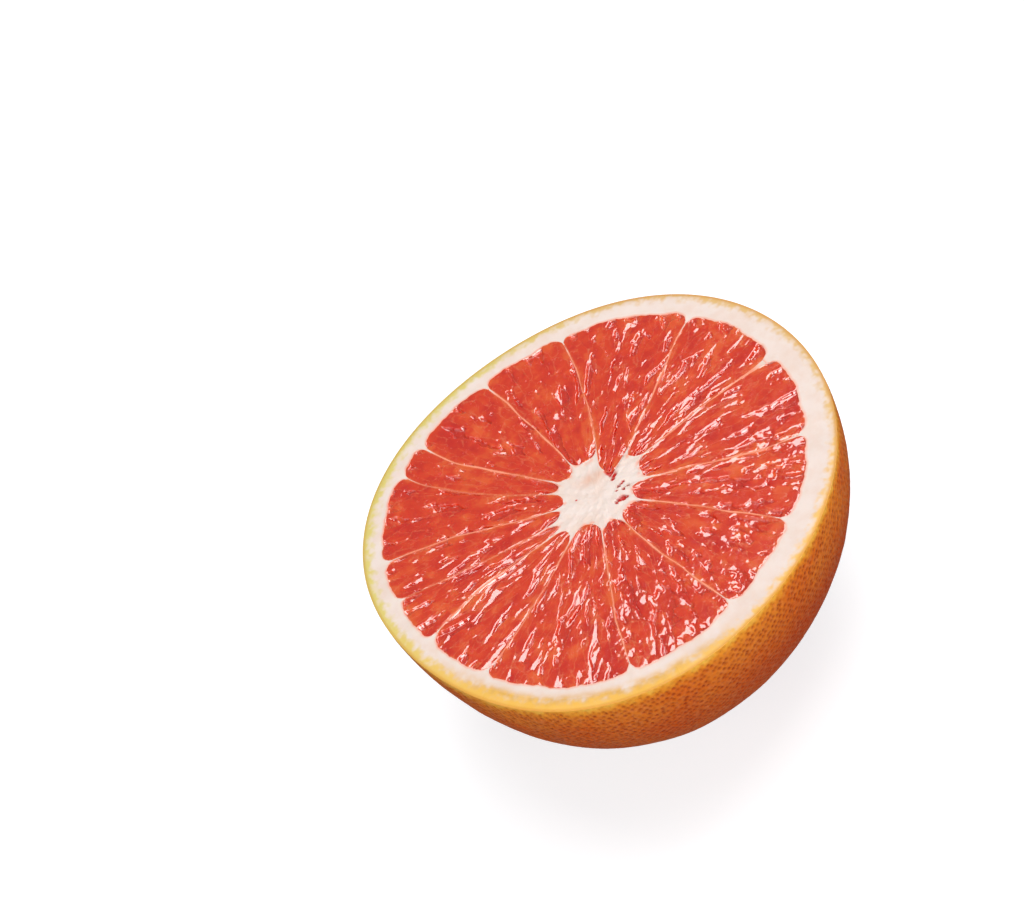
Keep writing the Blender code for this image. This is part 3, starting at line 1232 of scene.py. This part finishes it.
class Rind:
    """Pored skin from the cut edge down to the foot, closed by a tray that the pith lies in."""

    STEPS = 600
    PORES = 11500
    PORE_SIZE = 0.32 * MM
    PORE_DEPTH = 0.23 * MM
    PORE_STRAY = 0.17 * MM
    TRAY = 2.7 * MM
    BAKE_STRIPS = 0.92
    BAKE_STRIP = 0.012
    BAKE_TRAY = 0.015 / 0.11

    def __init__(self, form: FruitForm, finish: RindFinish, cut: bpy.types.Material) -> None:
        """Keeps the form, the finish and the material of the cut edge."""
        self.form = form
        self.material = finish.make()
        self.cut = cut

    def make(self) -> bpy.types.Object:
        """Makes the rind as one closed piece.

        Returns:
            The piece.
        """
        side = self.STEPS + 1
        ticks = np.linspace(-1.0, 1.0, side)
        across, along = np.meshgrid(ticks, ticks, indexing="ij")
        across, along = across.ravel(), along.ravel()
        share, azimuth = self.square_to_disc(across, along)
        skin, normals = self.smooth_skin(share, azimuth)
        marks = self.press_pores(skin, normals, share)
        solid = SolidMesh("rind")
        solid.add_points(skin)
        spread = np.column_stack((across, along)) * 0.45 + 0.455
        quads = grid_quads(side, side)
        solid.add_faces(quads, spread[quads])
        loop = grid_border(side, side)
        self.close_top(solid, skin, loop, marks)
        return solid.build([self.material, self.cut], marks, crease=60.0)

    @staticmethod
    def square_to_disc(across: Array, along: Array) -> tuple[Array, Array]:
        """Maps a square onto a disc so that cells keep their area.

        Args:
            across: From -1 to 1 across the square.
            along: From -1 to 1 along the square.

        Returns:
            Radius from 0 to 1, and azimuth in radians.
        """
        share = np.maximum(np.abs(across), np.abs(along))
        wide = np.abs(across) >= np.abs(along)
        safe_a = np.where(across == 0, 1.0, across)
        safe_b = np.where(along == 0, 1.0, along)
        azimuth = np.where(wide, math.pi / 4 * along / safe_a, math.pi / 2 - math.pi / 4 * across / safe_b)
        azimuth = np.where(wide & (across < 0), azimuth + math.pi, azimuth)
        azimuth = np.where(~wide & (along < 0), azimuth + math.pi, azimuth)
        azimuth = np.where(share == 0, 0.0, azimuth)
        return share, azimuth

    def smooth_skin(self, share: Array, azimuth: Array) -> tuple[Array, Array]:
        """Lays the skin before its pores.

        Args:
            share: From 0 at the blossom end to 1 at the rim.
            azimuth: Directions in radians.

        Returns:
            Places, and the outward direction at each.
        """
        tilt = np.arccos(np.clip(1 - share ** 2, 0.0, 1.0))
        radius = self.form.outline(azimuth) * np.sin(tilt)
        height = self.form.height - self.form.depth * np.cos(tilt)
        skin = np.column_stack((radius * np.cos(azimuth), radius * np.sin(azimuth), height))
        stretch = (self.form.depth / self.form.radius) ** 2
        normals = np.column_stack((skin[:, 0], skin[:, 1], (height - self.form.height) / stretch))
        normals /= np.linalg.norm(normals, axis=1)[:, None]
        wave = LatticeNoise(31).layered(skin, 9 * MM, 3) * 0.10 * MM * smooth_step(1.0, 0.9, share)
        return skin + normals * wave[:, None], normals

    def press_pores(self, skin: Array, normals: Array, share: Array) -> dict[str, Array]:
        """Presses the pores into the skin and flattens the foot.

        Args:
            skin: The skin's places, changed in place.
            normals: The outward directions.
            share: From 0 at the blossom end to 1 at the rim.

        Returns:
            The marks that the finish reads.
        """
        pores = self.pore_places()
        tree = KDTree(len(pores))
        for index, place in enumerate(pores):
            tree.insert(place, index)
        tree.balance()
        found = [tree.find(place) for place in skin.tolist()]
        away = np.array([item[2] for item in found])
        index = np.array([item[1] for item in found])
        rng = np.random.default_rng(32)
        size = self.PORE_SIZE * rng.uniform(0.75, 1.3, len(pores))
        depth = self.PORE_DEPTH * rng.uniform(0.6, 1.25, len(pores))
        shape = np.exp(-(away / size[index]) ** 2)
        edge = smooth_step(1.0, 0.985, share)
        press = depth[index] * shape - 0.05 * MM * np.exp(-((away - 2.1 * size[index]) / (0.3 * MM)) ** 2)
        skin -= normals * (press * edge)[:, None]
        skin[:, 2] = np.clip(skin[:, 2], 0.0, self.form.height - 0.10 * MM * smooth_step(0.994, 1.0, share))
        rim = self.form.height - skin[:, 2]
        radius = np.hypot(skin[:, 0], skin[:, 1])
        low = skin[:, 2] < 12 * MM
        scar = np.where(low, 1 - smooth_step(1.3 * MM, 2.3 * MM, radius), 0.0)
        azimuth = np.arctan2(skin[:, 1], skin[:, 0])
        # Partly the rind's blush, partly painted shade: deeper red from 2 mm to 20 mm below the cut,
        # strongest on one side.
        blush = 0.5 + 0.5 * smooth_step(-0.2, 0.9, np.cos(azimuth + math.radians(25)))
        blush = blush * smooth_step(2 * MM, 20 * MM, rim)
        patch = LatticeNoise(33).layered(skin, 7 * MM, 2)
        scratch = LatticeNoise(34).layered(skin, 0.8 * MM, 3)
        scuff = smooth_step(1.0, 1.25, patch) * smooth_step(0.1, 0.7, scratch) * 0.7
        strong = rng.uniform(0.55, 1.0, len(pores))[index]
        return {"pore": away, "strong": strong, "rim": rim, "blush": blush, "scuff": scuff, "scar": scar}

    def pore_places(self) -> Array:
        """Spreads the pores evenly but irregularly.

        Returns:
            Their places, one row each.
        """
        rng = np.random.default_rng(35)
        index = np.arange(self.PORES) + 0.5
        share = np.sqrt(index / self.PORES) * 1.01
        azimuth = index * math.pi * (3 - math.sqrt(5))
        tilt = np.arccos(np.clip(1 - share ** 2, -0.2, 1.0))
        radius = self.form.outline(azimuth % TURN) * np.sin(tilt)
        height = self.form.height - self.form.depth * np.cos(tilt)
        places = np.column_stack((radius * np.cos(azimuth), radius * np.sin(azimuth), height))
        return places + rng.normal(0.0, self.PORE_STRAY, places.shape)

    def close_top(self, solid: SolidMesh, skin: Array, loop: Array, marks: dict[str, Array]) -> None:
        """Adds the cut edge and the tray under the pith.

        Args:
            solid: The rind's mesh.
            skin: The skin's places.
            loop: The skin's vertices around the rim.
            marks: The finish's marks, which get those of the cut edge too.
        """
        count = len(loop)
        rim = skin[loop]
        reach = np.hypot(rim[:, 0], rim[:, 1])
        lip = self.form.lip
        sunk = -0.07 * MM
        rows = [(0.03 * MM, sunk - 0.01 * MM), (0.5 * lip, sunk), (lip + 0.02 * MM, sunk)]
        rows.append((lip + PithWeb.LEAN, -self.TRAY))
        last = loop
        inward = np.zeros(len(skin))
        for number, (step, drop) in enumerate(rows):
            ring = rim.copy()
            ring[:, :2] *= ((reach - step) / reach)[:, None]
            ring[:, 2] = self.form.height + drop
            first = solid.add_points(ring)
            fresh = first + np.arange(count)
            walls = np.stack((last, np.roll(last, -1), np.roll(fresh, -1), fresh), axis=-1)
            low = self.BAKE_STRIPS + number * self.BAKE_STRIP
            strip = wall_corners(count, low, low + self.BAKE_STRIP)[:, [0, 3, 2, 1], ::-1]
            solid.add_faces(walls, strip, finish=1)
            inward = np.concatenate((inward, np.full(count, step)))
            last = fresh
        points = np.concatenate(solid.points)[last][:, :2]
        patch = (points - points.min(axis=0)) * self.BAKE_TRAY + np.array([0.982, 0.01])
        solid.add_faces(last[None], patch, finish=1)
        azimuth = np.concatenate([np.arctan2(part[:, 1], part[:, 0]) for part in solid.points])
        for label, values in list(marks.items()):
            marks[label] = np.concatenate((values, np.zeros(len(inward) - len(values))))
        marks["inward"] = inward
        marks["warm"], marks["gold"] = rim_tones(azimuth)


# ---- Studio -----------------------------------------------------------------------------------


@dataclass(frozen=True)
class Studio:
    """White floor, soft lights and the camera."""

    form: FruitForm
    elevation: float = 46.42
    roll: float = 33.42
    distance: float = 0.72
    lens: float = 128.35
    aside: float = 17.1 * MM
    above: float = 6.6 * MM

    def make(self) -> None:
        """Makes everything around the fruit."""
        self.make_floor()
        self.make_world()
        self.make_light("key", (0.26, 0.16, 0.95), 0.95, 0.90, 7.8)
        self.make_light("front", (0.20, -0.92, 0.28), 1.2, 0.9, 12.0)
        self.make_light("side", (-0.85, -0.30, 0.42), 1.2, 0.9, 1.2)
        self.make_light("back", (-0.95, 0.20, 0.10), 1.2, 0.9, 4.5, gloss=False)
        self.make_light("far", (0.78, 0.62, 0.06), 1.2, 0.9, 3.0, gloss=False)
        self.make_camera()

    def make_floor(self) -> None:
        """Large white floor."""
        half = 3.0
        mesh = bpy.data.meshes.new("floor")
        corners = [(-half, -half, 0), (half, -half, 0), (half, half, 0), (-half, half, 0)]
        mesh.from_pydata(corners, [], [(0, 1, 2, 3)])
        floor = bpy.data.objects.new("floor", mesh)
        bpy.context.scene.collection.objects.link(floor)
        nodes = Nodes("floor")
        grain = nodes.noise(0.4, 2.0)
        tone = nodes.mix(grain, (0.61, 0.61, 0.61), (0.63, 0.63, 0.63))
        nodes.settings(Base_Color=tone, Roughness=0.9, Specular_IOR_Level=0.1,
                       Emission_Color=(0.96, 0.98, 1.0), Emission_Strength=0.64)
        mesh.materials.append(nodes.material)
        floor.visible_diffuse = False
        floor.visible_glossy = False

    @staticmethod
    def make_world() -> None:
        """Dim even surroundings."""
        world = bpy.data.worlds.new("studio")
        world.use_nodes = True
        ground = world.node_tree.nodes["Background"]
        ground.inputs["Color"].default_value = (1.0, 1.0, 1.0, 1.0)
        ground.inputs["Strength"].default_value = 0.15
        bpy.context.scene.world = world

    def make_light(
        self, name: str, direction: tuple[float, float, float], away: float, size: float, power: float,
        gloss: bool = True,
    ) -> None:
        """Square soft light aimed at the middle of the cut face.

        Args:
            name: The light's name.
            direction: Direction from the cut face towards the light.
            away: Distance in metres.
            size: Side in metres.
            power: Power in watts.
            gloss: Whether shiny surfaces mirror it.
        """
        middle = Vector((0.0, 0.0, self.form.height))
        aim = Vector(direction).normalized()
        light = bpy.data.lights.new(name, "AREA")
        light.shape = "SQUARE"
        light.size = size
        light.energy = power
        lamp = bpy.data.objects.new(name, light)
        lamp.location = middle + aim * away
        lamp.rotation_euler = aim.to_track_quat("Z", "Y").to_euler()
        lamp.visible_camera = False
        lamp.visible_glossy = gloss
        bpy.context.scene.collection.objects.link(lamp)

    def make_camera(self) -> None:
        """Camera above the cut face, rolled so that the fruit lies over to the left."""
        tilt = math.radians(self.elevation)
        turn = math.radians(self.roll)
        middle = Vector((0.0, 0.0, self.form.height))
        back = Vector((0.0, -math.cos(tilt), math.sin(tilt)))
        eye = middle + back * self.distance
        right, up = self.turned(back, turn)
        target = middle - right * self.aside + up * self.above
        back = (eye - target).normalized()
        right, up = self.turned(back, turn)
        data = bpy.data.cameras.new("camera")
        data.lens = self.lens
        data.sensor_width = 36.0
        camera = bpy.data.objects.new("camera", data)
        facing = Matrix((right, up, back)).transposed().to_4x4()
        camera.matrix_world = Matrix.Translation(eye) @ facing
        bpy.context.scene.collection.objects.link(camera)
        bpy.context.scene.camera = camera

    @staticmethod
    def turned(back: Vector, turn: float) -> tuple[Vector, Vector]:
        """Turns the camera about its line of sight.

        Args:
            back: Direction from the target to the camera.
            turn: Roll in radians.

        Returns:
            The camera's right and up directions.
        """
        level = Vector((0.0, 0.0, 1.0)).cross(back).normalized()
        upright = back.cross(level)
        right = level * math.cos(turn) - upright * math.sin(turn)
        up = level * math.sin(turn) + upright * math.cos(turn)
        return right, up


# ---- Assembly ---------------------------------------------------------------------------------


def place_piece(piece: bpy.types.Object) -> None:
    """Lets a piece ride on the fruit's body, and logs its number of faces.

    Args:
        piece: The piece.
    """
    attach(piece, BODY)
    LOG.info("%s: %d faces", piece.name, len(piece.data.polygons))


def main() -> None:
    """Builds the half grapefruit and its studio."""
    logging.basicConfig(level=logging.INFO, format="%(name)s %(message)s")
    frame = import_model()
    form = FruitForm.from_node(frame["nodes"][NODE])
    plans = plan_segments(form)
    bpy.context.scene.view_settings.view_transform = "Standard"

    web = PithWeb(form, plans, PithFinish())
    pith = web.make()
    place_piece(pith)
    rind = Rind(form, RindFinish(), web.material).make()
    place_piece(rind)
    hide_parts(NODE)
    for segment in PulpSegments(form, plans, PulpFinish()).make():
        place_piece(segment)
    Studio(form).make()


if __name__ == "__main__":
    main()
